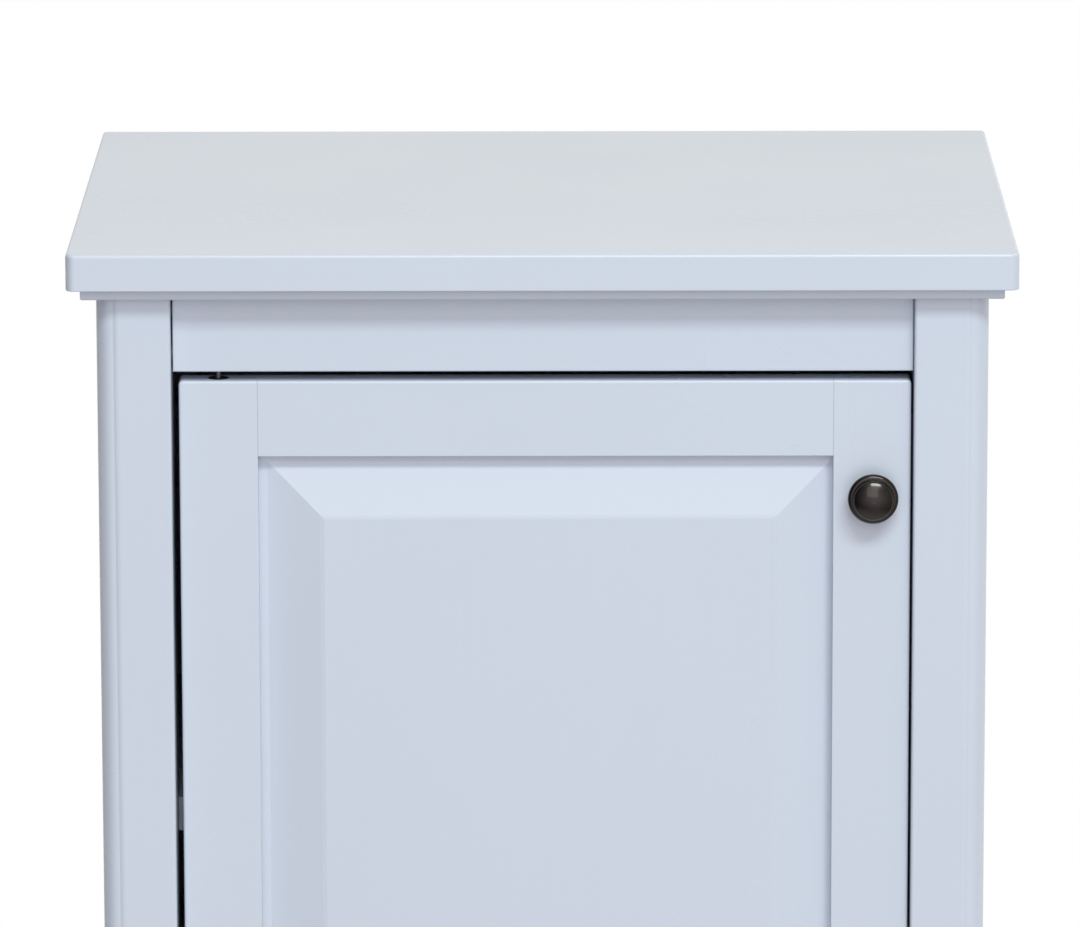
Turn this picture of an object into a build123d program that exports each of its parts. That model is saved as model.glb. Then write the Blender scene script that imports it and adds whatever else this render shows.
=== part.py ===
from build123d import *
import os

# Linen cabinet with one inset raised-panel door on pivot pins.
# Millimetres. The origin is on the floor under the middle of the top board.
# +Z is up, the door faces -Y and +X is to the right of someone facing the door.

# Overall size
width = 508.0
depth = 381.0
height = 864.0

# Top board and the thin moulding under it
top_thickness = 20.0
top_overhang = 15.0
top_corner_radius = 5.0
top_rear_corner_radius = 2.5
top_edge_radius = 1.9
top_under_edge_radius = 0.6
moulding_thickness = 6.1
moulding_width = 60.0
moulding_inset = 7.4
moulding_edge_radius = 1.2

# Corner posts, which run down to the floor as legs
post_size = 40.0
post_round_radius = 9.4
post_round_step = 0.75
post_roll_width = 3.0
post_edge_radius = 1.5
leg_height = 80.0

# Nail-on glides under the legs
glide_thickness = 3.0
glide_radius = 11.0
glide_edge_radius = 0.8
glide_nail_radius = 1.25
glide_nail_length = 18.0
glide_nail_head_radius = 4.0
glide_nail_head_thickness = 1.0
glide_skin = 1.2

# Rails between the posts
rail_thickness = 18.0
top_rail_height = 41.9
bottom_rail_height = 41.5
frame_recess = 7.0
rail_gap_left = 0.8
rail_gap_right = 0.3
rail_edge_radius = 0.8
dowel_radius = 4.0
dowel_length = 30.0
dowel_edge_distance = 9.0

# Side, back and floor panels
side_thickness = 15.0
side_recess = 6.0
side_groove_depth = 8.0
back_thickness = 5.0
back_rabbet_width = 10.0
floor_thickness = 15.0
panel_clearance = 0.2

# Cleats that carry the floor and hold the top, and their screws
cleat_size = 15.0
cleat_edge_radius = 1.0
cleat_screw_spacing = 110.0
top_screw_spacing = 110.0
screw_radius = 1.75
screw_head_radius = 3.5
screw_head_height = 2.0
screw_point_length = 3.0
screw_bite = 9.5

# Nails that hold the back panel
back_nail_radius = 0.8
back_nail_head_radius = 2.0
back_nail_head_thickness = 0.8
back_nail_length = 18.0
back_nail_pitch = 120.0
back_nail_edge_distance = 5.0
back_nail_rail_distance = 8.0

# Screw holes in the rear top rail for fixing the cabinet to a wall
wall_hole_spacing = 300.0
wall_hole_radius = 2.5

# Shelves on pins
shelf_thickness = 19.0
shelf_edge_radius = 1.0
shelf_side_clearance = 1.0
shelf_front_setback = 1.0
upper_shelf_top = 552.0
lower_shelf_top = 337.0
shelf_pin_radius = 2.5
shelf_pin_depth = 9.5
shelf_pin_hole_depth = 10.0
shelf_pin_row_pitch = 32.0
shelf_pin_rows_each_way = 1
shelf_pin_end_distance = 37.0
spoon_length = 8.0
spoon_width = 8.0
spoon_thickness = 3.0

# Door frame and raised panel
door_thickness = 18.0
door_gap_top = 5.0
door_gap_bottom = 3.1
door_gap_hinge = 3.8
door_gap_latch = 1.3
hinge_stile_width = 42.2
latch_stile_width = 41.6
door_rail_height = 41.5
door_corner_radius = 2.5
door_edge_radius = 1.5
door_joint_ease = 0.35
door_groove_setback = 8.0
door_groove_width = 5.0
door_groove_depth = 9.0
door_tongue_length = 8.5
panel_tongue_length = 6.0
panel_shift = 1.8
panel_drop = 1.2
panel_quirk = 3.0
panel_bevel_width = 29.5
panel_field_setback = 0.8
panel_arris_radius = 10.0

# Pivot pins and their bushes, in the middle of the left stile
pivot_pin_radius = 1.4
pivot_pin_rail_depth = 15.0
pivot_pin_door_depth = 10.0
pivot_pin_chamfer = 0.5
pivot_collar_radius = 5.0
pivot_shoulder_radius = 3.0
pivot_shoulder_thickness = 0.7
pivot_running_clearance = 0.05
pivot_end_clearance = 0.1
bush_wall = 1.5
bush_length = 12.0
bush_flange_radius = 5.6
bush_flange_thickness = 1.0

# Knob and its screw
knob_drop = 63.0
knob_edge_distance = 20.5
knob_foot_radius = 8.0
knob_foot_thickness = 1.6
knob_neck_radius = 5.2
knob_rim_radius = 13.6
knob_rim_start = 9.8
knob_rim_thickness = 2.8
knob_rim_back_radius = 0.5
knob_rim_front_radius = 2.1
knob_dome_radius = 10.8
knob_dome_step = 3.2
knob_dome_edge_radius = 1.8
knob_projection = 19.2
knob_groove_radius = 0.25
knob_screw_radius = 2.0
knob_screw_bite = 7.0
knob_screw_head_radius = 4.0
knob_screw_head_height = 2.4
knob_screw_hole_radius = 2.3

# Magnetic catch on the right post and the strike plate on the door
catch_drop = 45.0
catch_width = 13.0
catch_depth = 13.0
catch_body_height = 26.0
catch_ear_length = 10.0
catch_ear_thickness = 3.0
catch_wall = 1.5
catch_edge_radius = 0.8
pole_thickness = 1.2
pole_proud = 0.6
magnet_set_back = 0.5
catch_gap = 0.1
catch_screw_radius = 1.5
catch_screw_head_radius = 2.9
catch_screw_head_height = 1.8
catch_screw_bite = 12.0
strike_width = 10.0
strike_height = 32.0
strike_thickness = 1.2
strike_edge_distance = 5.7
strike_screw_radius = 1.5
strike_screw_head_radius = 2.8
strike_screw_head_height = 1.1
strike_screw_length = 12.0

# Fixed round pieces sit in holes that are wider by this much all round
fit_clearance = 0.05
hole_end_clearance = 0.5

# Faces and levels that the pieces share
post_outer = width / 2 - top_overhang
post_inner = post_outer - post_size
post_front = -depth / 2 + top_overhang
front_post_back = post_front + post_size
back_face = depth / 2
rear_post_front = back_face - post_size
post_top = height - top_thickness - moulding_thickness
post_bottom = glide_thickness

rail_front = post_front + frame_recess
rail_back = rail_front + rail_thickness
back_panel_front = back_face - back_thickness
rear_rail_front = back_panel_front - rail_thickness
opening_bottom = leg_height + bottom_rail_height
opening_top = post_top - top_rail_height
floor_under = opening_bottom - floor_thickness

side_outer = post_outer - side_recess
side_inner = side_outer - side_thickness

door_front = rail_front
door_back = door_front + door_thickness
door_left = -post_inner + door_gap_hinge
door_right = post_inner - door_gap_latch
door_bottom = opening_bottom + door_gap_bottom
door_top = opening_top - door_gap_top
pivot_x = door_left + hinge_stile_width / 2
pivot_y = door_front + door_thickness / 2
groove_front = door_front + door_groove_setback
groove_back = groove_front + door_groove_width
panel_left = door_left + hinge_stile_width
panel_right = door_right - latch_stile_width
panel_bottom = door_bottom + door_rail_height
panel_top = door_top - door_rail_height

pivot_sweep = ((hinge_stile_width / 2) ** 2 + (door_thickness / 2) ** 2) ** 0.5
shelf_front = max(front_post_back, pivot_y + pivot_sweep) + shelf_front_setback
shelf_back = back_panel_front - shelf_side_clearance

knob_x = door_right - knob_edge_distance
knob_z = door_top - knob_drop
catch_z = door_top - catch_drop
catch_front = door_back + strike_thickness + catch_gap
strike_x = door_right - strike_edge_distance

LEFT = (-1, 0, 0)
RIGHT = (1, 0, 0)
TO_FRONT = (0, -1, 0)
TO_BACK = (0, 1, 0)
UP = (0, 0, 1)
DOWN = (0, 0, -1)
STANDING = (Align.CENTER, Align.CENTER, Align.MIN)


def block(x0, x1, y0, y1, z0, z1):
    """A box between two corners."""
    middle = Pos((x0 + x1) / 2, (y0 + y1) / 2, (z0 + z1) / 2)
    return middle * Box(x1 - x0, y1 - y0, z1 - z0)


def rod(start, axis, radius, length):
    """A cylinder that starts at a point and runs along an axis."""
    return Plane(origin=start, z_dir=axis).location * Cylinder(radius, length, align=STANDING)


def cone(start, axis, start_radius, end_radius, length):
    """A cut cone that starts at a point and runs along an axis."""
    place = Plane(origin=start, z_dir=axis).location
    return place * Cone(start_radius, end_radius, length, align=STANDING)


def along(start, axis, distance):
    """The point at a distance from a start point, along an axis."""
    return tuple(s + a * distance for s, a in zip(start, axis))


def mirrored(solid):
    """The same piece on the cabinet's other side."""
    return mirror(solid, about=Plane.YZ)


def ease_face(solid, axis, radius):
    """Round the edges of the face that lies furthest against an axis."""
    return fillet(solid.faces().sort_by(axis)[0].edges(), radius)


def countersunk_screw(start, axis, length, radius, head_radius, head_height, gap=0.0):
    """A countersunk screw, with its head's flat face at the start point."""
    head = cone(start, axis, head_radius + gap, radius + gap, head_height)
    shank_length = length - head_height - screw_point_length
    shank_start = along(start, axis, head_height)
    shank = rod(shank_start, axis, radius + gap, shank_length)
    point_start = along(shank_start, axis, shank_length)
    point = cone(point_start, axis, radius + gap, radius / 4, screw_point_length)
    return head + shank + point


def screw_hole(start, axis, length, radius, head_radius, head_height):
    """The hole that a countersunk screw sits in."""
    head = cone(start, axis, head_radius + fit_clearance, radius + fit_clearance, head_height)
    shank = rod(start, axis, radius + fit_clearance, length + hole_end_clearance)
    return head + shank


def group(solids):
    """Several loose solids kept as one named set."""
    return Compound(children=list(solids))


def evenly(first, last, pitch):
    """Places from first to last, at even steps near a pitch."""
    steps = max(1, round((last - first) / pitch))
    return [first + (last - first) * step / steps for step in range(steps + 1)]


def cleat_screw(start, axis, thickness):
    """A wood screw through a cleat into the board behind it."""
    length = thickness + screw_bite
    return countersunk_screw(start, axis, length, screw_radius, screw_head_radius, screw_head_height)


def cleat_screw_hole(start, axis, thickness):
    """The hole for a wood screw through a cleat."""
    length = thickness + screw_bite
    return screw_hole(start, axis, length, screw_radius, screw_head_radius, screw_head_height)


def dowel_places():
    """The middle of each dowel at the right-hand posts, as X, Y and Z."""
    front_y = (rail_front + rail_back) / 2
    rear_y = (rear_rail_front + back_panel_front) / 2
    upper_rows = (opening_top + dowel_edge_distance, post_top - dowel_edge_distance)
    lower_rows = (leg_height + dowel_edge_distance, opening_bottom - dowel_edge_distance)
    places = []
    for z in upper_rows + lower_rows:
        places.append((post_inner, front_y, z))
    for z in upper_rows:
        places.append((post_inner, rear_y, z))
    places.append((post_inner, rear_y, (leg_height + floor_under) / 2))
    return places


def dowel(place, gap=0.0, end_gap=0.0):
    """A beech dowel, or the hole for it, across the joint of a rail and a right-hand post."""
    start = along(place, LEFT, dowel_length / 2 + end_gap)
    return rod(start, RIGHT, dowel_radius + gap, dowel_length + 2 * end_gap)


def dowel_holes():
    """All dowel holes on both sides."""
    right = [dowel(place, fit_clearance, hole_end_clearance) for place in dowel_places()]
    return right + [mirrored(hole) for hole in right]


def make_dowels():
    """All dowels, with chamfered ends."""
    right = []
    for place in dowel_places():
        pin = dowel(place)
        right.append(chamfer(pin.edges().filter_by(GeomType.CIRCLE), 1.0))
    return group(right + [mirrored(pin) for pin in right])


def cleat_screw_places():
    """Where each cleat screw's head lies, with its direction."""
    levels = (post_top - cleat_size / 2, floor_under - cleat_size / 2)
    side_y = (front_post_back + rear_post_front) / 2
    side_x = side_inner - cleat_size
    front_y = rail_back + cleat_size
    places = []
    for z in levels:
        for step in (-1, 0, 1):
            shift = step * cleat_screw_spacing
            places.append(((-side_x, side_y + shift, z), LEFT))
            places.append(((side_x, side_y + shift, z), RIGHT))
            places.append(((shift, front_y, z), TO_FRONT))
    return places


def top_screw_places():
    """Where each screw up into the top board starts, under a top cleat."""
    z = post_top - cleat_size
    side_y = (front_post_back + rear_post_front) / 2
    side_x = side_inner - cleat_size / 2
    front_y = rail_back + cleat_size / 2
    places = []
    for step in (-0.5, 0.5):
        shift = step * top_screw_spacing
        places.append((-side_x, side_y + shift, z))
        places.append((side_x, side_y + shift, z))
        places.append((shift, front_y, z))
    return places


def make_cleat_screws():
    """The screws through the cleats into the side panels and front rails."""
    return group(cleat_screw(start, axis, cleat_size) for start, axis in cleat_screw_places())


def cleat_screw_holes():
    """The holes for the cleat screws."""
    return [cleat_screw_hole(start, axis, cleat_size) for start, axis in cleat_screw_places()]


def make_top_screws():
    """The screws through the top cleats and the moulding into the top board."""
    thickness = cleat_size + moulding_thickness
    return group(cleat_screw(start, UP, thickness) for start in top_screw_places())


def top_screw_holes():
    """The holes for the top screws."""
    thickness = cleat_size + moulding_thickness
    return [cleat_screw_hole(start, UP, thickness) for start in top_screw_places()]


def make_top_board():
    """The top board, with rounded corners and eased edges."""
    board = block(-width / 2, width / 2, -depth / 2, depth / 2, height - top_thickness, height)
    uprights = board.edges().filter_by(Axis.Z)
    board = fillet(uprights.group_by(Axis.Y)[0], top_corner_radius)
    uprights = board.edges().filter_by(Axis.Z)
    board = fillet(uprights.group_by(Axis.Y)[-1], top_rear_corner_radius)
    board = fillet(board.faces().sort_by(Axis.Z)[-1].edges(), top_edge_radius)
    board = fillet(board.faces().sort_by(Axis.Z)[0].edges(), top_under_edge_radius)
    return board - top_screw_holes()


def moulding_outline():
    """The outer half width, front and back of the moulding ring."""
    half = width / 2 - moulding_inset
    front = -depth / 2 + moulding_inset
    return half, front, back_face


def make_side_moulding():
    """The right strip of the moulding ring, mitred at both ends."""
    half, front, back = moulding_outline()
    strip = block(half - moulding_width, half, front, back, post_top, post_top + moulding_thickness)
    outer_edge = strip.edges().filter_by(Axis.Y).group_by(Axis.X)[-1].sort_by(Axis.Z)[0]
    strip = fillet(outer_edge, moulding_edge_radius)
    corners = [
        (half, front),
        (half, back),
        (half - moulding_width, back - moulding_width),
        (half - moulding_width, front + moulding_width),
    ]
    mitre = extrude(make_face(Polyline(corners, close=True)), amount=height)
    return (strip & mitre) - top_screw_holes()


def make_end_moulding(at_front):
    """The front or rear strip of the moulding ring, mitred at both ends."""
    half, front, back = moulding_outline()
    outer = front if at_front else back
    inner = outer + moulding_width if at_front else outer - moulding_width
    y_range = sorted((outer, inner))
    strip = block(-half, half, *y_range, post_top, post_top + moulding_thickness)
    if at_front:
        outer_edge = strip.edges().filter_by(Axis.X).group_by(Axis.Y)[0].sort_by(Axis.Z)[0]
        strip = fillet(outer_edge, moulding_edge_radius)
    corners = [
        (-half, outer),
        (half, outer),
        (half - moulding_width, inner),
        (-half + moulding_width, inner),
    ]
    mitre = extrude(make_face(Polyline(corners, close=True)), amount=height)
    return (strip & mitre) - top_screw_holes()


def front_post_section():
    """The right front post's section: its face rolls down to a line, then a quarter round."""
    line_x = post_outer - post_round_radius
    line_y = post_front + post_round_step
    roll_start = (line_x - post_roll_width, post_front)
    roll_radius = (post_roll_width ** 2 + post_round_step ** 2) / (2 * post_round_step)
    end = (post_outer, line_y + post_round_radius)
    outline = Polyline(
        end,
        (post_outer, front_post_back),
        (post_inner, front_post_back),
        (post_inner, post_front),
        roll_start,
    )
    roll = RadiusArc(roll_start, (line_x, line_y), -roll_radius)
    quarter = RadiusArc((line_x, line_y), end, -post_round_radius)
    return make_face(outline + roll + quarter)


def make_front_post():
    """The right front post, before its holes are cut."""
    post = Pos(0, 0, post_bottom) * extrude(front_post_section(), amount=post_top - post_bottom)
    plain_edges = post.edges().filter_by(Axis.Z).filter_by(
        lambda edge: edge.center().X < post_inner + post_round_step
        or edge.center().Y > front_post_back - post_round_step
    )
    post = fillet(plain_edges, post_edge_radius)
    groove = block(
        side_inner,
        side_outer,
        front_post_back - side_groove_depth,
        front_post_back,
        leg_height - panel_clearance,
        post_top,
    )
    return post - groove


def make_rear_post():
    """The right rear post, with the side panel's groove and the back panel's rabbet."""
    post = block(post_inner, post_outer, rear_post_front, back_face, post_bottom, post_top)
    post = fillet(post.edges().filter_by(Axis.Z), post_edge_radius)
    groove = block(
        side_inner,
        side_outer,
        rear_post_front,
        rear_post_front + side_groove_depth,
        leg_height - panel_clearance,
        post_top,
    )
    rabbet = block(
        post_inner,
        post_inner + back_rabbet_width,
        back_panel_front,
        back_face,
        leg_height - panel_clearance,
        post_top,
    )
    return post - groove - rabbet


def glide_nail_start(x, y):
    """The underside of a glide nail's head, inside the glide."""
    return (x, y, glide_skin)


def foot_places():
    """The middle of each foot."""
    x = post_outer - post_size / 2
    front_y = post_front + post_size / 2
    rear_y = back_face - post_size / 2
    return [(-x, front_y), (x, front_y), (-x, rear_y), (x, rear_y)]


def glide_nail(x, y, gap=0.0, end_gap=0.0):
    """A glide's nail, or the hole for it."""
    start = glide_nail_start(x, y)
    head_length = glide_nail_head_thickness + end_gap
    head = rod(start, UP, glide_nail_head_radius + gap, head_length)
    shank = rod(start, UP, glide_nail_radius + gap, glide_nail_length + end_gap)
    return head + shank


def make_glides():
    """The four glides."""
    glides = []
    for x, y in foot_places():
        pad = rod((x, y, 0), UP, glide_radius, glide_thickness)
        pad = fillet(pad.edges().filter_by(GeomType.CIRCLE).sort_by(Axis.Z)[0], glide_edge_radius)
        glides.append(pad - glide_nail(x, y, fit_clearance))
    return group(glides)


def make_glide_nails():
    """The four nails moulded into the glides."""
    return group(glide_nail(x, y) for x, y in foot_places())


def glide_nail_holes():
    """The nail holes in the legs."""
    holes = []
    for x, y in foot_places():
        start = along(glide_nail_start(x, y), UP, glide_nail_head_thickness)
        length = glide_nail_length - glide_nail_head_thickness + hole_end_clearance
        holes.append(rod(start, UP, glide_nail_radius + fit_clearance, length))
    return holes


def front_rail(z0, z1):
    """A rail between the front posts."""
    left = -post_inner + rail_gap_left
    right = post_inner - rail_gap_right
    rail = block(left, right, rail_front, rail_back, z0, z1)
    return ease_face(rail, Axis.Y, rail_edge_radius)


def pivot_hole(z, axis):
    """The hole in a rail for a pivot pin."""
    length = pivot_pin_rail_depth + hole_end_clearance
    return rod((pivot_x, pivot_y, z), axis, pivot_pin_radius + fit_clearance, length)


def make_top_front_rail():
    """The rail above the door."""
    rail = front_rail(opening_top, post_top)
    return rail - dowel_holes() - pivot_hole(opening_top, UP) - cleat_screw_holes()


def make_bottom_front_rail():
    """The rail under the door."""
    rail = front_rail(leg_height, opening_bottom)
    return rail - dowel_holes() - pivot_hole(opening_bottom, DOWN) - cleat_screw_holes()


def wall_holes():
    """The holes through the rear top rail and the back panel."""
    z = (opening_top + post_top) / 2
    through = rail_thickness + back_thickness
    holes = []
    for side in (-0.5, 0.5):
        start = (side * wall_hole_spacing, rear_rail_front, z)
        holes.append(rod(start, TO_BACK, wall_hole_radius, through))
    return holes


def rear_rail(z0, z1):
    """A rail between the rear posts."""
    rail = block(-post_inner, post_inner, rear_rail_front, back_panel_front, z0, z1)
    return ease_face(rail, Axis.Y, rail_edge_radius)


def back_nail_places():
    """The place of each nail head on the back panel, as X and Z, clear of the dowels."""
    post_x = post_inner + back_nail_edge_distance
    rail_x = post_inner - dowel_length / 2 - back_nail_rail_distance
    lowest = floor_under + back_nail_rail_distance
    highest = opening_top - back_nail_rail_distance
    places = []
    for z in evenly(lowest, highest, back_nail_pitch):
        places.append((-post_x, z))
        places.append((post_x, z))
    for x in evenly(-rail_x, rail_x, back_nail_pitch):
        places.append((x, (leg_height + floor_under) / 2))
        places.append((x, opening_top + back_nail_edge_distance))
    return places


def back_nail(x, z, gap=0.0, end_gap=0.0):
    """A back panel nail, or the hole for it, with its head flush."""
    start = (x, back_face, z)
    head = rod(start, TO_FRONT, back_nail_head_radius + gap, back_nail_head_thickness)
    shank = rod(start, TO_FRONT, back_nail_radius + gap, back_nail_length + end_gap)
    return head + shank


def back_nail_holes():
    """The holes for the back panel's nails."""
    return [back_nail(x, z, fit_clearance, hole_end_clearance) for x, z in back_nail_places()]


def make_back_nails():
    """The nails that hold the back panel."""
    return group(back_nail(x, z) for x, z in back_nail_places())


def make_rear_top_rail():
    """The rear rail under the top board, with the wall fixing holes."""
    return rear_rail(opening_top, post_top) - dowel_holes() - wall_holes() - back_nail_holes()


def make_rear_bottom_rail():
    """The rear rail under the floor panel."""
    return rear_rail(leg_height, floor_under) - dowel_holes() - back_nail_holes()


def make_back_panel():
    """The thin back panel in the rear posts' rabbets."""
    half = post_inner + back_rabbet_width - panel_clearance
    panel = block(-half, half, back_panel_front, back_face, leg_height, post_top)
    return panel - wall_holes() - back_nail_holes()


def shelf_pin_columns():
    """The two distances from front to back where shelf pins stand."""
    return (shelf_front + shelf_pin_end_distance, rear_post_front - shelf_pin_end_distance)


def shelf_pin_level(shelf_top):
    """The height of the middle of the pins under a shelf."""
    return shelf_top - shelf_thickness - spoon_thickness / 2


def shelf_pin_holes():
    """The rows of pin holes in the right side panel."""
    holes = []
    for shelf_top in (upper_shelf_top, lower_shelf_top):
        for row in range(-shelf_pin_rows_each_way, shelf_pin_rows_each_way + 1):
            z = shelf_pin_level(shelf_top) + row * shelf_pin_row_pitch
            for y in shelf_pin_columns():
                start = (side_inner, y, z)
                hole = rod(start, RIGHT, shelf_pin_radius + fit_clearance, shelf_pin_hole_depth)
                holes.append(hole)
    return holes


def make_side_panel():
    """The right side panel, with its edges in the posts' grooves."""
    front = front_post_back - side_groove_depth + panel_clearance
    back = rear_post_front + side_groove_depth - panel_clearance
    panel = block(side_inner, side_outer, front, back, leg_height, post_top)
    return panel - shelf_pin_holes()


def make_floor_panel():
    """The floor panel, notched round the four posts."""
    gap = panel_clearance
    half = side_inner - gap
    front = rail_back + gap
    back = back_panel_front - gap
    panel = block(-half, half, front, back, floor_under, opening_bottom)
    for x0, x1 in ((-half, -post_inner + gap), (post_inner - gap, half)):
        panel -= block(x0, x1, front, front_post_back + gap, floor_under, opening_bottom)
        panel -= block(x0, x1, rear_post_front - gap, back, floor_under, opening_bottom)
    return panel


def side_cleat(z_top):
    """A cleat along the right side panel, with its upper face at a level."""
    x0 = side_inner - cleat_size
    front = front_post_back + panel_clearance
    back = rear_post_front - panel_clearance
    cleat = block(x0, side_inner, front, back, z_top - cleat_size, z_top)
    low_edge = cleat.edges().filter_by(Axis.Y).group_by(Axis.X)[0].sort_by(Axis.Z)[0]
    return fillet(low_edge, cleat_edge_radius)


def front_cleat(z_top):
    """A cleat along the back of a front rail, with its upper face at a level."""
    half = post_inner - panel_clearance
    back = rail_back + cleat_size
    cleat = block(-half, half, rail_back, back, z_top - cleat_size, z_top)
    low_edge = cleat.edges().filter_by(Axis.X).group_by(Axis.Y)[-1].sort_by(Axis.Z)[0]
    return fillet(low_edge, cleat_edge_radius)


def shelf_pin(y, shelf_top):
    """A spoon-ended pin in the right side panel, under a shelf."""
    z = shelf_pin_level(shelf_top)
    pin = rod((side_inner + shelf_pin_depth, y, z), LEFT, shelf_pin_radius, shelf_pin_depth)
    spoon = block(
        side_inner - spoon_length,
        side_inner,
        y - spoon_width / 2,
        y + spoon_width / 2,
        z - spoon_thickness / 2,
        z + spoon_thickness / 2,
    )
    free_corners = spoon.edges().filter_by(Axis.Z).group_by(Axis.X)[0]
    return pin + fillet(free_corners, spoon_width / 4)


def make_shelf_pins(shelf_top):
    """The four pins under a shelf."""
    right = [shelf_pin(y, shelf_top) for y in shelf_pin_columns()]
    return group(right + [mirrored(pin) for pin in right])


def make_shelf(shelf_top):
    """A shelf that lies on its pins, notched round the rear posts."""
    half = side_inner - shelf_side_clearance
    notch_x = post_inner - shelf_side_clearance
    notch_y = rear_post_front - shelf_side_clearance
    under = shelf_top - shelf_thickness
    shelf = block(-half, half, shelf_front, shelf_back, under, shelf_top)
    for x0, x1 in ((-half, -notch_x), (notch_x, half)):
        shelf -= block(x0, x1, notch_y, shelf_back, under, shelf_top)
    front_edges = shelf.edges().filter_by(Axis.X).group_by(Axis.Y)[0]
    return fillet(front_edges, shelf_edge_radius)


def bush(z, axis):
    """A flanged bush let into the stile's end at a level, along an axis into the stile."""
    start = (pivot_x, pivot_y, z)
    bore = pivot_pin_radius + pivot_running_clearance
    body = rod(start, axis, bore + bush_wall, bush_length)
    flange = rod(start, axis, bush_flange_radius, bush_flange_thickness)
    return body + flange - rod(start, axis, bore, bush_length)


def bush_hole(z, axis):
    """The stepped hole for a bush."""
    start = (pivot_x, pivot_y, z)
    outer = pivot_pin_radius + pivot_running_clearance + bush_wall + fit_clearance
    body = rod(start, axis, outer, bush_length + hole_end_clearance)
    return body + rod(start, axis, bush_flange_radius + fit_clearance, bush_flange_thickness)


def make_top_pivot_pin():
    """The upper pivot pin, fixed in the rail above the door, with its shoulder."""
    start = (pivot_x, pivot_y, opening_top + pivot_pin_rail_depth)
    length = pivot_pin_rail_depth + door_gap_top + pivot_pin_door_depth
    pin = rod(start, DOWN, pivot_pin_radius, length)
    pin = chamfer(pin.edges().filter_by(GeomType.CIRCLE), pivot_pin_chamfer)
    shoulder_start = (pivot_x, pivot_y, opening_top)
    return pin + rod(shoulder_start, DOWN, pivot_shoulder_radius, pivot_shoulder_thickness)


def make_bottom_pivot_pin():
    """The lower pivot pin, with the collar that carries the door."""
    start = (pivot_x, pivot_y, opening_bottom - pivot_pin_rail_depth)
    length = pivot_pin_rail_depth + door_gap_bottom + pivot_pin_door_depth
    pin = rod(start, UP, pivot_pin_radius, length)
    pin = chamfer(pin.edges().filter_by(GeomType.CIRCLE), pivot_pin_chamfer)
    collar_start = (pivot_x, pivot_y, opening_bottom)
    collar_height = door_gap_bottom - pivot_end_clearance
    return pin + rod(collar_start, UP, pivot_collar_radius, collar_height)


def door_stile(outer, inner):
    """A stile between its outer and inner side, before its groove and holes are cut."""
    x0, x1 = sorted((outer, inner))
    stile = block(x0, x1, door_front, door_back, door_bottom, door_top)
    corners = stile.edges().filter_by(Axis.Y).sort_by(lambda edge: abs(edge.center().X - outer))
    stile = fillet(corners[:2], door_corner_radius)
    rims = stile.faces().filter_by(Axis.Y).edges()
    inner_rims = rims.filter_by(lambda edge: abs(edge.center().X - inner) < door_joint_ease)
    stile = fillet([rim for rim in rims if rim not in inner_rims], door_edge_radius)
    inner_front = stile.faces().sort_by(Axis.Y)[0].edges().filter_by(Axis.Z)
    inner_front = inner_front.sort_by(lambda edge: abs(edge.center().X - inner))[0]
    return fillet(inner_front, door_joint_ease)


def stile_groove(inner, outwards):
    """The groove in a stile's inner side for the panel and the rails' tongues."""
    x0, x1 = sorted((inner, inner + outwards * door_groove_depth))
    return block(x0, x1, groove_front, groove_back, door_bottom, door_top)


def make_left_stile():
    """The hinge stile, with its groove and the holes for both bushes."""
    stile = door_stile(door_left, panel_left) - stile_groove(panel_left, -1)
    return stile - bush_hole(door_top, DOWN) - bush_hole(door_bottom, UP)


def strike_screw_start():
    """The middle of the strike plate's face."""
    return (strike_x, door_back + strike_thickness, catch_z)


def strike_hole():
    """The hole for the strike plate's screw."""
    return screw_hole(
        strike_screw_start(),
        TO_FRONT,
        strike_screw_length,
        strike_screw_radius,
        strike_screw_head_radius,
        strike_screw_head_height,
    )


def knob_hole():
    """The hole through the stile for the knob's screw."""
    return rod((knob_x, door_back, knob_z), TO_FRONT, knob_screw_hole_radius, door_thickness)


def make_right_stile():
    """The latch stile, with its groove and the holes for the knob and the strike plate."""
    stile = door_stile(door_right, panel_right) - stile_groove(panel_right, 1)
    return stile - knob_hole() - strike_hole()


def make_door_rail(z0, z1, at_top):
    """A rail of the door, with a tongue at each end and a groove for the panel."""
    rail = block(panel_left, panel_right, door_front, door_back, z0, z1)
    outer = rail.faces().sort_by(Axis.Z)[-1 if at_top else 0]
    rail = fillet(outer.edges().filter_by(Axis.X), door_edge_radius)
    rail = fillet(rail.faces().sort_by(Axis.Y)[0].edges(), door_joint_ease)
    tongue = block(
        panel_left - door_tongue_length,
        panel_right + door_tongue_length,
        groove_front,
        groove_back,
        z0,
        z1,
    )
    groove_end = z0 + door_groove_depth if at_top else z1 - door_groove_depth
    groove_z = sorted((z0 if at_top else z1, groove_end))
    reach = door_tongue_length
    groove = block(panel_left - reach, panel_right + reach, groove_front, groove_back, *groove_z)
    return rail + tongue - groove


def panel_outline(inset, setback):
    """The rectangle of the panel at one distance behind the door's front face."""
    middle_x = (panel_left + panel_right) / 2 + panel_shift
    middle_z = (panel_bottom + panel_top) / 2 - panel_drop
    middle = (middle_x, door_front + setback, middle_z)
    plane = Plane(origin=middle, x_dir=RIGHT, z_dir=TO_FRONT)
    wide = panel_right - panel_left - 2 * inset
    high = panel_top - panel_bottom - 2 * inset
    return plane * Rectangle(wide, high)


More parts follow.
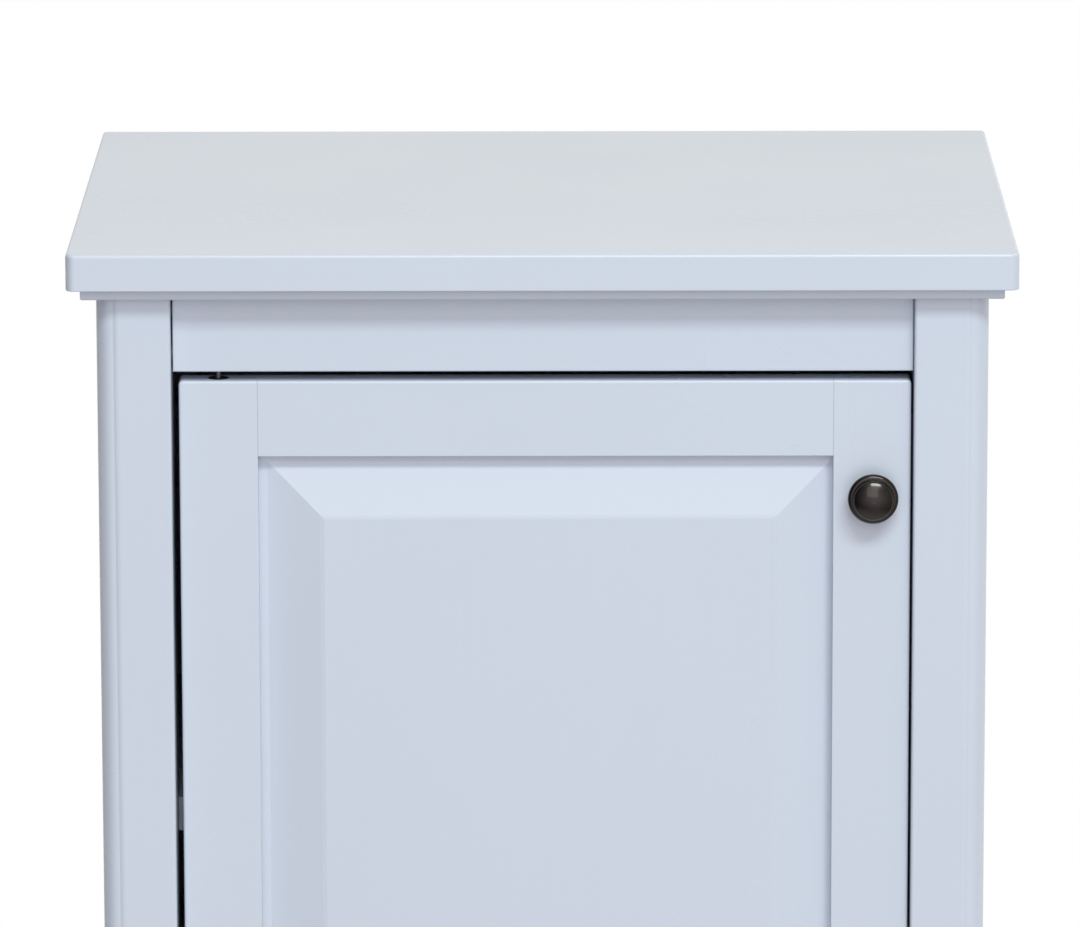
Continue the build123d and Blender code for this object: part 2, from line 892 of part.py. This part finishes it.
def make_door_panel():
    """The raised panel, loose in its grooves: a tongue, a flat quirk, a bevel and a flat field.

    It sits a little to the right and low in the grooves, and its bevel meets the field in a soft
    round.
    """
    reach = panel_tongue_length
    sheet = block(
        panel_left - reach + panel_shift,
        panel_right + reach + panel_shift,
        groove_front,
        groove_back,
        panel_bottom - reach - panel_drop,
        panel_top + reach - panel_drop,
    )
    bevel_foot = panel_outline(panel_quirk, door_groove_setback)
    field = panel_outline(panel_quirk + panel_bevel_width, panel_field_setback)
    raised = loft([bevel_foot.face(), field.face()])
    arris = raised.faces().sort_by(Axis.Y)[0].edges()
    return sheet + fillet(arris, panel_arris_radius)


def knob_section():
    """Half of the knob's section: radius in X, distance from the door in Y."""
    rim_end = knob_rim_start + knob_rim_thickness
    dome_start = rim_end + knob_dome_step
    neck_start = knob_foot_thickness + (knob_foot_radius - knob_neck_radius)
    foot = Polyline((0, 0), (knob_foot_radius, 0), (knob_foot_radius, knob_foot_thickness))
    cove = RadiusArc(
        (knob_foot_radius, knob_foot_thickness),
        (knob_neck_radius, neck_start),
        knob_foot_radius - knob_neck_radius,
    )
    under_rim = (knob_rim_radius - knob_rim_back_radius, knob_rim_start)
    flare = Spline(
        (knob_neck_radius, neck_start),
        under_rim,
        tangents=[(0, 1), (1, 0.35)],
    )
    rim_low = (knob_rim_radius, knob_rim_start + knob_rim_back_radius)
    rim_high = (knob_rim_radius, rim_end - knob_rim_front_radius)
    rim_top = (knob_rim_radius - knob_rim_front_radius, rim_end)
    low_round = RadiusArc(under_rim, rim_low, -knob_rim_back_radius)
    rim_side = Line(rim_low, rim_high)
    high_round = RadiusArc(rim_high, rim_top, -knob_rim_front_radius)
    groove_out = (knob_dome_radius + 2 * knob_groove_radius, rim_end)
    ledge = Line(rim_top, groove_out)
    groove_low = (knob_dome_radius + knob_groove_radius, rim_end - knob_groove_radius)
    groove = ThreePointArc(groove_out, groove_low, (knob_dome_radius, rim_end))
    shoulder = (knob_dome_radius, dome_start)
    wall = Line((knob_dome_radius, rim_end), shoulder)
    apex = (0, knob_projection)
    rise = knob_projection - dome_start
    crown_radius = (knob_dome_radius ** 2 + rise ** 2) / (2 * rise)
    crown = RadiusArc(shoulder, apex, -crown_radius)
    middle = Line(apex, (0, 0))
    lower = foot + cove + flare + low_round + rim_side + high_round
    upper = ledge + groove + wall + crown + middle
    section = make_face(lower + upper)
    corner = section.vertices().sort_by_distance((*shoulder, 0))[0]
    return fillet(corner, knob_dome_edge_radius)


def make_knob():
    """The round knob, turned about its axis, with the screw's hole in its foot."""
    turned = revolve(knob_section(), Axis.Y)
    standing = Pos(knob_x, door_front, knob_z) * Rot(180, 0, 0) * turned
    start = (knob_x, door_front, knob_z)
    hole_length = knob_screw_bite + hole_end_clearance
    return standing - rod(start, TO_FRONT, knob_screw_radius + fit_clearance, hole_length)


def make_knob_screw():
    """The machine screw from the door's back into the knob."""
    start = (knob_x, door_back, knob_z)
    shank = rod(start, TO_FRONT, knob_screw_radius, door_thickness + knob_screw_bite)
    head = rod(start, TO_BACK, knob_screw_head_radius, knob_screw_head_height)
    rim = head.edges().filter_by(GeomType.CIRCLE).sort_by(Axis.Y)[-1]
    head = fillet(rim, knob_screw_head_height / 2)
    slot_width = knob_screw_head_radius / 4
    slot = block(
        knob_x - knob_screw_head_radius,
        knob_x + knob_screw_head_radius,
        door_back + knob_screw_head_height / 2,
        door_back + knob_screw_head_height,
        knob_z - slot_width / 2,
        knob_z + slot_width / 2,
    )
    return shank + head - slot


def make_strike_plate():
    """The steel plate that the catch holds."""
    plate = block(
        strike_x - strike_width / 2,
        strike_x + strike_width / 2,
        door_back,
        door_back + strike_thickness,
        catch_z - strike_height / 2,
        catch_z + strike_height / 2,
    )
    plate = fillet(plate.edges().filter_by(Axis.Y), strike_width / 5)
    return plate - strike_hole()


def make_strike_screw():
    """The screw that holds the strike plate to the door."""
    return countersunk_screw(
        strike_screw_start(),
        TO_FRONT,
        strike_screw_length,
        strike_screw_radius,
        strike_screw_head_radius,
        strike_screw_head_height,
    )


def catch_cavity():
    """The corners of the pocket for the magnet and its two pole plates."""
    x0 = post_inner - catch_width + catch_wall
    x1 = post_inner - catch_wall
    y1 = catch_front + catch_depth - catch_wall
    half = catch_body_height / 2 - catch_wall
    return x0, x1, y1, catch_z - half, catch_z + half


def catch_screw_starts():
    """The middle of each catch screw's head, on an ear."""
    reach = catch_body_height / 2 + catch_ear_length / 2
    x = post_inner - catch_ear_thickness
    y = catch_front + pole_proud + (catch_depth - pole_proud) / 2
    return [(x, y, catch_z - reach), (x, y, catch_z + reach)]


def catch_screw_holes():
    """The holes for the catch's screws."""
    holes = []
    for start in catch_screw_starts():
        length = catch_ear_thickness + catch_screw_bite
        holes.append(
            screw_hole(
                start,
                RIGHT,
                length,
                catch_screw_radius,
                catch_screw_head_radius,
                catch_screw_head_height,
            )
        )
    return holes


def make_catch_housing():
    """The catch's plastic housing: an open-fronted box between two screw ears."""
    y0 = catch_front + pole_proud
    y1 = catch_front + catch_depth
    half = catch_body_height / 2
    reach = half + catch_ear_length
    body = block(post_inner - catch_width, post_inner, y0, y1, catch_z - half, catch_z + half)
    body = fillet(body.edges().filter_by(Axis.Y).group_by(Axis.X)[0], catch_edge_radius)
    ears = block(post_inner - catch_ear_thickness, post_inner, y0, y1, catch_z - reach, catch_z + reach)
    ears = fillet(ears.edges().filter_by(Axis.X), catch_ear_length / 4)
    x0, x1, pocket_back, z0, z1 = catch_cavity()
    pocket = block(x0, x1, y0, pocket_back, z0, z1)
    return body + ears - pocket - catch_screw_holes()


def make_catch_poles():
    """The two steel pole plates beside the magnet."""
    x0, x1, y1, z0, z1 = catch_cavity()
    left = block(x0, x0 + pole_thickness, catch_front, y1, z0, z1)
    right = block(x1 - pole_thickness, x1, catch_front, y1, z0, z1)
    return group([left, right])


def make_catch_magnet():
    """The magnet between the pole plates."""
    x0, x1, y1, z0, z1 = catch_cavity()
    y0 = catch_front + pole_proud + magnet_set_back
    return block(x0 + pole_thickness, x1 - pole_thickness, y0, y1, z0, z1)


def make_catch_screws():
    """The screws that hold the catch to the post."""
    screws = []
    for start in catch_screw_starts():
        screws.append(
            countersunk_screw(
                start,
                RIGHT,
                catch_ear_thickness + catch_screw_bite,
                catch_screw_radius,
                catch_screw_head_radius,
                catch_screw_head_height,
            )
        )
    return group(screws)


def make_all():
    """Every sub-part by name."""
    front_post = make_front_post() - dowel_holes() - glide_nail_holes()
    rear_post = make_rear_post() - dowel_holes() - glide_nail_holes() - back_nail_holes()
    side_panel = make_side_panel() - cleat_screw_holes()
    side_moulding = make_side_moulding()
    top_side_cleat = side_cleat(post_top) - cleat_screw_holes() - top_screw_holes()
    floor_side_cleat = side_cleat(floor_under) - cleat_screw_holes()
    return {
        "top_board": make_top_board(),
        "moulding_front": make_end_moulding(True),
        "moulding_rear": make_end_moulding(False),
        "moulding_left": mirrored(side_moulding),
        "moulding_right": side_moulding,
        "post_front_left": mirrored(front_post),
        "post_front_right": front_post - catch_screw_holes(),
        "post_rear_left": mirrored(rear_post),
        "post_rear_right": rear_post,
        "foot_glides": make_glides(),
        "glide_nails": make_glide_nails(),
        "rail_front_top": make_top_front_rail(),
        "rail_front_bottom": make_bottom_front_rail(),
        "rail_rear_top": make_rear_top_rail(),
        "rail_rear_bottom": make_rear_bottom_rail(),
        "rail_dowels": make_dowels(),
        "side_panel_left": mirrored(side_panel),
        "side_panel_right": side_panel,
        "back_panel": make_back_panel(),
        "back_nails": make_back_nails(),
        "floor_panel": make_floor_panel(),
        "top_cleat_left": mirrored(top_side_cleat),
        "top_cleat_right": top_side_cleat,
        "top_cleat_front": front_cleat(post_top) - cleat_screw_holes() - top_screw_holes(),
        "floor_cleat_left": mirrored(floor_side_cleat),
        "floor_cleat_right": floor_side_cleat,
        "floor_cleat_front": front_cleat(floor_under) - cleat_screw_holes(),
        "cleat_screws": make_cleat_screws(),
        "top_screws": make_top_screws(),
        "upper_shelf": make_shelf(upper_shelf_top),
        "lower_shelf": make_shelf(lower_shelf_top),
        "upper_shelf_pins": make_shelf_pins(upper_shelf_top),
        "lower_shelf_pins": make_shelf_pins(lower_shelf_top),
        "pivot_pin_top": make_top_pivot_pin(),
        "pivot_pin_bottom": make_bottom_pivot_pin(),
        "pivot_bush_top": bush(door_top, DOWN),
        "pivot_bush_bottom": bush(door_bottom, UP),
        "door_stile_left": make_left_stile(),
        "door_stile_right": make_right_stile(),
        "door_rail_top": make_door_rail(panel_top, door_top, True),
        "door_rail_bottom": make_door_rail(door_bottom, panel_bottom, False),
        "door_panel": make_door_panel(),
        "knob": make_knob(),
        "knob_screw": make_knob_screw(),
        "strike_plate": make_strike_plate(),
        "strike_screw": make_strike_screw(),
        "catch_housing": make_catch_housing(),
        "catch_poles": make_catch_poles(),
        "catch_magnet": make_catch_magnet(),
        "catch_screws": make_catch_screws(),
    }


os.makedirs("parts", exist_ok=True)
for name, shape in make_all().items():
    export_step(shape, f"parts/{name}.step")
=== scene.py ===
"""Paint, metals, light and camera for the white linen cabinet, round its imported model."""
import math

import bpy
from mathutils import Matrix, Vector

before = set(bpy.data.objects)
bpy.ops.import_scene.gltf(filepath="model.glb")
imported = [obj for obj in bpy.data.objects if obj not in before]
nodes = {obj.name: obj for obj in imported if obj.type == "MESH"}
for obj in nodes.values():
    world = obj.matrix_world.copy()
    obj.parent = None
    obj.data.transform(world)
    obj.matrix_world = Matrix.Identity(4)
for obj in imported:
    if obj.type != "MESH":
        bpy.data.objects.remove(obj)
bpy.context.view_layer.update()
scene = bpy.context.scene

# Camera, in metres and degrees. The photograph is 1080 x 927 pixels.
camera_place = Vector((0.0121, -4.5355, 1.6917))
camera_down = 12.225
camera_left = 0.178
camera_roll = -0.119
camera_lens = 277.27
sensor_width = 36.0

# Paint, as linear colour. Scales are features for each metre, and relief is in metres.
lacquer_colour = (0.600, 0.650, 0.735)
lacquer_roughness = 0.24
lacquer_mottle = 0.010
lacquer_relief = 0.00002
lacquer_ior = 1.5
grain_across = 420.0
grain_along = 9.0
peel_scale = 1100.0
cloud_scale = 7.0

# The part of a noise texture's values that the materials use.
noise_span = (0.3, 0.7)

# Metal.
coat_roughness = 0.12

# Light. A white surface that faces a source of radiance 1 all round renders as 1.
# A softbox spans a range of X and of rise for each metre in front of the target.
light_target = Vector((0.0, -0.17, 0.75))
softboxes = [
    # name, distance, span in X, span in rise, level, colour
    ("key", 3.2, (-0.10, 0.72), (0.90, 1.25), 0.51, (0.92, 1.02, 1.03)),
    ("panel", 3.2, (-0.33, 0.37), (0.05, 0.75), 0.165, (0.92, 1.02, 1.03)),
]
background = 1.0
behind_blend = 0.2
sky = [
    # direction, power, colour
    ((1.0, 1.0, 0.0), 4, (1.92, 1.82, 1.86)),
    ((1.0, -1.0, 0.0), 4, (0.40, 0.41, 0.38)),
    ((0.0, -1.0, 0.0), 4, (1.12, 1.04, 1.12)),
    ((0.0, 0.0, 1.0), 4, (0.90, 0.85, 0.75)),
]

# Floor, in metres, with its colour as seen and as it lights the cabinet.
floor_corners = 96
floor_radius = 1.45
floor_fade = 0.95
floor_seen = (0.90, 0.90, 0.90)
floor_bounce = (0.60, 0.60, 0.60)


def feed(tree, socket, value):
    """Links another node's output to the socket, or sets the socket to a plain value."""
    if isinstance(value, bpy.types.NodeSocket):
        tree.links.new(value, socket)
    else:
        socket.default_value = value


def find_input(node, name):
    """The node's input of that name, where i6 means input 6 and _ stands for a space."""
    if name[0] == "i" and name[1:].isdigit():
        return node.inputs[int(name[1:])]
    return node.inputs[name.replace("_", " ")]


def add(tree, kind, settings=None, **inputs):
    """Adds a shader node; an input is a number, a colour or another node's output."""
    node = tree.nodes.new("ShaderNode" + kind)
    for name, value in (settings or {}).items():
        setattr(node, name, value)
    for name, value in inputs.items():
        feed(tree, find_input(node, name), value)
    return node


def maths(tree, operation, *values):
    """A Math node's output."""
    node = tree.nodes.new("ShaderNodeMath")
    node.operation = operation
    for socket, value in zip(node.inputs, values):
        feed(tree, socket, value)
    return node.outputs[0]


def own_place(tree):
    """The piece's own coordinates, in metres."""
    return tree.nodes.new("ShaderNodeTexCoord").outputs["Object"]


def spread(tree, value, low, high):
    """A noise value within noise_span mapped to the range from low to high."""
    span = {"From_Min": noise_span[0], "From_Max": noise_span[1], "To_Min": low, "To_Max": high}
    return add(tree, "MapRange", {"clamp": True}, **span, Value=value).outputs["Result"]


def noise(tree, vector, scale, detail=2.0, rough=0.5):
    """A noise texture's value."""
    return add(tree, "TexNoise", None, Vector=vector, Scale=scale, Detail=detail, Roughness=rough).outputs[0]


def stretched(tree, scale):
    """The piece's own coordinates, in metres, times a scale on each axis."""
    place = own_place(tree)
    shrink = [1 / s for s in scale]
    return add(tree, "Mapping", {"vector_type": "TEXTURE"}, Vector=place, Scale=shrink).outputs[0]


def rgba(colour):
    """The colour with full opacity."""
    return (*colour, 1.0)


def tint(tree, colour, amount, factor):
    """The colour, between one darker and one lighter by amount, as factor goes from 0 to 1."""
    dark = rgba([c * (1 - amount) for c in colour])
    light = rgba([min(1.0, c * (1 + amount)) for c in colour])
    mix = add(tree, "Mix", {"data_type": "RGBA"}, i0=factor, i6=dark, i7=light)
    return mix.outputs[2]


def new_material(name):
    """An empty material with a Principled shader; returns the material, its tree and the shader."""
    material = bpy.data.materials.new(name)
    material.use_nodes = True
    tree = material.node_tree
    tree.nodes.clear()
    shader = tree.nodes.new("ShaderNodeBsdfPrincipled")
    output = tree.nodes.new("ShaderNodeOutputMaterial")
    tree.links.new(shader.outputs[0], output.inputs["Surface"])
    return material, tree, shader


def bump(tree, shader, height, distance, strength=1.0, normal=None):
    """A bump of that height in metres, on top of another if one is given."""
    node = add(tree, "Bump", None, Height=height, Distance=distance, Strength=strength)
    if normal is not None:
        tree.links.new(normal, node.inputs["Normal"])
    tree.links.new(node.outputs[0], shader.inputs["Normal"])
    return node.outputs[0]


def lacquer(name, along, colour=lacquer_colour, roughness=lacquer_roughness):
    """Sprayed satin lacquer over wood whose grain runs along the axis 0, 1 or 2."""
    material, tree, shader = new_material(name)
    grain_scale = [grain_across, grain_across, grain_across]
    grain_scale[along] = grain_along
    grain = noise(tree, stretched(tree, grain_scale), 1.0, 3.0)
    place = own_place(tree)
    peel = noise(tree, place, peel_scale, 1.0)
    cloud = noise(tree, place, cloud_scale, 3.0)
    cloud_share = maths(tree, "MULTIPLY", spread(tree, cloud, 0, 1), 0.7)
    grain_share = maths(tree, "MULTIPLY", spread(tree, grain, 0, 1), 0.3)
    tone = maths(tree, "ADD", cloud_share, grain_share)
    tree.links.new(tint(tree, colour, lacquer_mottle, tone), shader.inputs["Base Color"])
    tree.links.new(spread(tree, cloud, roughness - 0.03, roughness + 0.05), shader.inputs["Roughness"])
    under = bump(tree, shader, grain, lacquer_relief, 0.6)
    bump(tree, shader, peel, lacquer_relief, 0.6, under)
    shader.inputs["IOR"].default_value = lacquer_ior
    return material


def metal(name, colour, roughness, grit, coat=0.0):
    """A plated metal with a fine mottled grit in its tone and roughness."""
    material, tree, shader = new_material(name)
    place = own_place(tree)
    fine = noise(tree, place, grit, 4.0, 0.6)
    broad = noise(tree, place, grit / 9, 2.0)
    tree.links.new(tint(tree, colour, 0.10, spread(tree, broad, 0, 1)), shader.inputs["Base Color"])
    tree.links.new(spread(tree, fine, roughness * 0.8, roughness * 1.25), shader.inputs["Roughness"])
    bump(tree, shader, fine, 0.00001, 0.5)
    shader.inputs["Metallic"].default_value = 1.0
    shader.inputs["Coat Weight"].default_value = coat
    shader.inputs["Coat Roughness"].default_value = coat_roughness
    return material


def plastic(name, colour, roughness, grit=900.0):
    """Moulded plastic with a fine spark-eroded texture and faint flow marks."""
    material, tree, shader = new_material(name)
    place = own_place(tree)
    fine = noise(tree, place, grit, 2.0)
    flow = noise(tree, stretched(tree, (60.0, 60.0, 200.0)), 1.0, 2.0)
    tree.links.new(tint(tree, colour, 0.06, spread(tree, flow, 0, 1)), shader.inputs["Base Color"])
    tree.links.new(spread(tree, fine, roughness - 0.05, roughness + 0.08), shader.inputs["Roughness"])
    bump(tree, shader, fine, 0.00004, 0.5)
    return material


def bare_wood(name, light, dark, along):
    """Bare wood with growth lines along an axis and short dark flecks."""
    material, tree, shader = new_material(name)
    line_scale = [900.0, 900.0, 900.0]
    line_scale[along] = 30.0
    lines = noise(tree, stretched(tree, line_scale), 1.0, 4.0)
    mix = add(tree, "Mix", {"data_type": "RGBA"}, i0=spread(tree, lines, 0, 1), i6=rgba(dark), i7=rgba(light))
    tree.links.new(mix.outputs[2], shader.inputs["Base Color"])
    tree.links.new(spread(tree, lines, 0.7, 0.55), shader.inputs["Roughness"])
    bump(tree, shader, lines, 0.0001, 0.6)
    return material


def ferrite(name):
    """Sintered magnet: dark, dull and grainy."""
    material, tree, shader = new_material(name)
    place = own_place(tree)
    grain = noise(tree, place, 2500.0, 3.0, 0.7)
    colour = tint(tree, (0.045, 0.045, 0.05), 0.3, spread(tree, grain, 0, 1))
    tree.links.new(colour, shader.inputs["Base Color"])
    tree.links.new(spread(tree, grain, 0.5, 0.7), shader.inputs["Roughness"])
    bump(tree, shader, grain, 0.00005, 0.7)
    return material


def dress(node_names, material):
    """Gives the named CAD nodes a material."""
    for name in node_names:
        slots = nodes[name].material_slots
        for slot in slots:
            slot.link = "OBJECT"
            slot.material = material


def paint_wood():
    """White lacquer, with the grain along each piece."""
    across = lacquer("lacquer_along_x", 0)
    deep = lacquer("lacquer_along_y", 1)
    upright = lacquer("lacquer_along_z", 2)
    dress(["top_board", "moulding_front", "moulding_rear"], across)
    dress(["rail_front_top", "rail_front_bottom", "rail_rear_top", "rail_rear_bottom"], across)
    dress(["door_rail_top", "door_rail_bottom", "upper_shelf", "lower_shelf"], across)
    dress(["floor_panel", "top_cleat_front", "floor_cleat_front"], across)
    dress(["moulding_left", "moulding_right", "top_cleat_left", "top_cleat_right"], deep)
    dress(["floor_cleat_left", "floor_cleat_right"], deep)
    dress(["post_front_left", "post_front_right", "post_rear_left", "post_rear_right"], upright)
    dress(["side_panel_left", "side_panel_right"], upright)
    dress(["door_stile_left", "door_stile_right", "door_panel"], upright)
    backing = lacquer("backing_board", 2, (0.57, 0.60, 0.66), 0.5)
    dress(["back_panel"], backing)
    dress(["rail_dowels"], bare_wood("beech", (0.52, 0.34, 0.19), (0.36, 0.21, 0.11), 0))


def plate_metal():
    """The knob, the pins and the fasteners."""
    dress(["knob"], metal("dark_bronze", (0.028, 0.021, 0.018), 0.32, 1500.0, 0.6))
    dress(["pivot_pin_top", "pivot_pin_bottom"], metal("dull_steel", (0.17, 0.155, 0.14), 0.45, 1800.0))
    zinc = metal("zinc_plate", (0.52, 0.53, 0.56), 0.34, 1800.0)
    dress(["knob_screw", "strike_plate", "strike_screw", "cleat_screws", "top_screws", "back_nails"], zinc)
    dress(["glide_nails", "catch_poles", "catch_screws"], zinc)
    dress(["upper_shelf_pins", "lower_shelf_pins"], metal("nickel_plate", (0.60, 0.57, 0.52), 0.22, 1500.0))


def mould_plastic():
    """The glides, bushes and catch."""
    dress(["foot_glides"], plastic("grey_nylon", (0.27, 0.28, 0.29), 0.45))
    dress(["pivot_bush_top", "pivot_bush_bottom"], plastic("black_nylon", (0.012, 0.012, 0.014), 0.45))
    dress(["catch_housing"], plastic("brown_plastic", (0.022, 0.012, 0.008), 0.35))
    dress(["catch_magnet"], ferrite("ferrite"))


def seen_ray(tree):
    """1 for rays that show the background: straight, mirrored or refracted ones."""
    path = tree.nodes.new("ShaderNodeLightPath")
    glossy = maths(tree, "MAXIMUM", path.outputs["Is Camera Ray"], path.outputs["Is Glossy Ray"])
    return maths(tree, "MAXIMUM", glossy, path.outputs["Is Transmission Ray"])


def make_floor():
    """A pale round floor that fades into the white background."""
    bpy.ops.mesh.primitive_circle_add(
        vertices=floor_corners, radius=floor_radius, fill_type="TRIFAN", location=(0, 0, 0)
    )
    floor = bpy.context.object
    floor.name = "floor"
    material = bpy.data.materials.new("pale_floor")
    material.use_nodes = True
    tree = material.node_tree
    tree.nodes.clear()
    place = own_place(tree)
    mottle = noise(tree, place, 30.0, 4.0)
    seen = seen_ray(tree)
    colour = add(tree, "Mix", {"data_type": "RGBA"}, i0=seen, i6=rgba(floor_bounce), i7=rgba(floor_seen))
    shade = tint(tree, (1.0, 1.0, 1.0), 0.01, spread(tree, mottle, 0, 1))
    multiply = {"data_type": "RGBA", "blend_type": "MULTIPLY"}
    mixed = add(tree, "Mix", multiply, i0=1.0, i6=colour.outputs[2], i7=shade)
    diffuse = add(tree, "BsdfDiffuse", None, Color=mixed.outputs[2])
    clear = tree.nodes.new("ShaderNodeBsdfTransparent")
    radius = add(tree, "VectorMath", {"operation": "LENGTH"}, i0=place).outputs["Value"]
    smooth = {"interpolation_type": "SMOOTHSTEP"}
    fade_start = floor_radius - floor_fade
    fade = add(tree, "MapRange", smooth, Value=radius, From_Min=fade_start, From_Max=floor_radius)
    mix = add(tree, "MixShader", None, i0=fade.outputs["Result"], i1=diffuse.outputs[0], i2=clear.outputs[0])
    output = tree.nodes.new("ShaderNodeOutputMaterial")
    tree.links.new(mix.outputs[0], output.inputs["Surface"])
    floor.data.materials.append(material)


def make_sky():
    """Soft studio light with its own level on each side, and a white background."""
    world = bpy.data.worlds.new("studio")
    scene.world = world
    world.use_nodes = True
    tree = world.node_tree
    tree.nodes.clear()
    direction = tree.nodes.new("ShaderNodeTexCoord").outputs["Generated"]
    glow = None
    for towards, power, colour in sky:
        aim = Vector(towards).normalized()
        facing = add(tree, "VectorMath", {"operation": "DOT_PRODUCT"}, i0=direction, i1=aim).outputs["Value"]
        share = maths(tree, "POWER", maths(tree, "MAXIMUM", facing, 0.0), power)
        term = add(tree, "VectorMath", {"operation": "SCALE"}, i0=colour, Scale=share).outputs[0]
        if glow is None:
            glow = term
        else:
            glow = add(tree, "VectorMath", {"operation": "ADD"}, i0=glow, i1=term).outputs[0]
    soft = add(tree, "Background", None, Color=glow, Strength=1.0)
    white = add(tree, "Background", None, Color=(1, 1, 1, 1), Strength=background)
    path = tree.nodes.new("ShaderNodeLightPath")
    depth = add(tree, "SeparateXYZ", None, i0=direction).outputs["Y"]
    smooth = {"interpolation_type": "SMOOTHSTEP"}
    turn = add(tree, "MapRange", smooth, From_Min=-behind_blend, From_Max=behind_blend, Value=depth)
    behind = turn.outputs["Result"]
    mirrored = maths(tree, "MAXIMUM", path.outputs["Is Glossy Ray"], path.outputs["Is Transmission Ray"])
    seen = maths(tree, "MAXIMUM", path.outputs["Is Camera Ray"], maths(tree, "MULTIPLY", mirrored, behind))
    mix = add(tree, "MixShader", None, i0=seen, i1=soft.outputs[0], i2=white.outputs[0])
    output = tree.nodes.new("ShaderNodeOutputWorld")
    tree.links.new(mix.outputs[0], output.inputs["Surface"])


def make_lamps():
    """Softboxes in front, each of which lights a facing white surface at the target to its level."""
    for name, distance, side_span, rise_span, level, colour in softboxes:
        side = sum(side_span) / 2
        rise = sum(rise_span) / 2
        reach = Vector((side, -1.0, rise)) * distance
        away = Vector((0.0, -1.0, rise)).normalized()
        slant = distance * math.hypot(1.0, rise)
        light = bpy.data.lights.new(name, "AREA")
        light.shape = "RECTANGLE"
        light.size = (side_span[1] - side_span[0]) * distance
        light.size_y = (math.atan(rise_span[1]) - math.atan(rise_span[0])) * slant
        light.color = colour
        light.energy = level * math.pi ** 2 * reach.length_squared
        lamp = bpy.data.objects.new(name, light)
        scene.collection.objects.link(lamp)
        lamp.location = light_target + reach
        right = Vector((1.0, 0.0, 0.0))
        lamp.rotation_mode = "QUATERNION"
        lamp.rotation_quaternion = Matrix((right, away.cross(right), away)).transposed().to_quaternion()


def make_camera():
    """The photograph's viewpoint."""
    down, left, roll = (math.radians(a) for a in (camera_down, camera_left, camera_roll))
    ahead = Vector((-math.sin(left) * math.cos(down), math.cos(left) * math.cos(down), -math.sin(down)))
    level_right = ahead.cross(Vector((0, 0, 1))).normalized()
    level_up = level_right.cross(ahead)
    right = math.cos(roll) * level_right + math.sin(roll) * level_up
    up = math.cos(roll) * level_up - math.sin(roll) * level_right
    data = bpy.data.cameras.new("camera")
    data.sensor_width = sensor_width
    data.sensor_fit = "HORIZONTAL"
    data.lens = camera_lens
    camera = bpy.data.objects.new("camera", data)
    scene.collection.objects.link(camera)
    camera.matrix_world = Matrix.Translation(camera_place) @ Matrix((right, up, -ahead)).transposed().to_4x4()
    scene.camera = camera


paint_wood()
plate_metal()
mould_plastic()
make_floor()
make_sky()
make_lamps()
make_camera()
scene.view_settings.view_transform = "Standard"
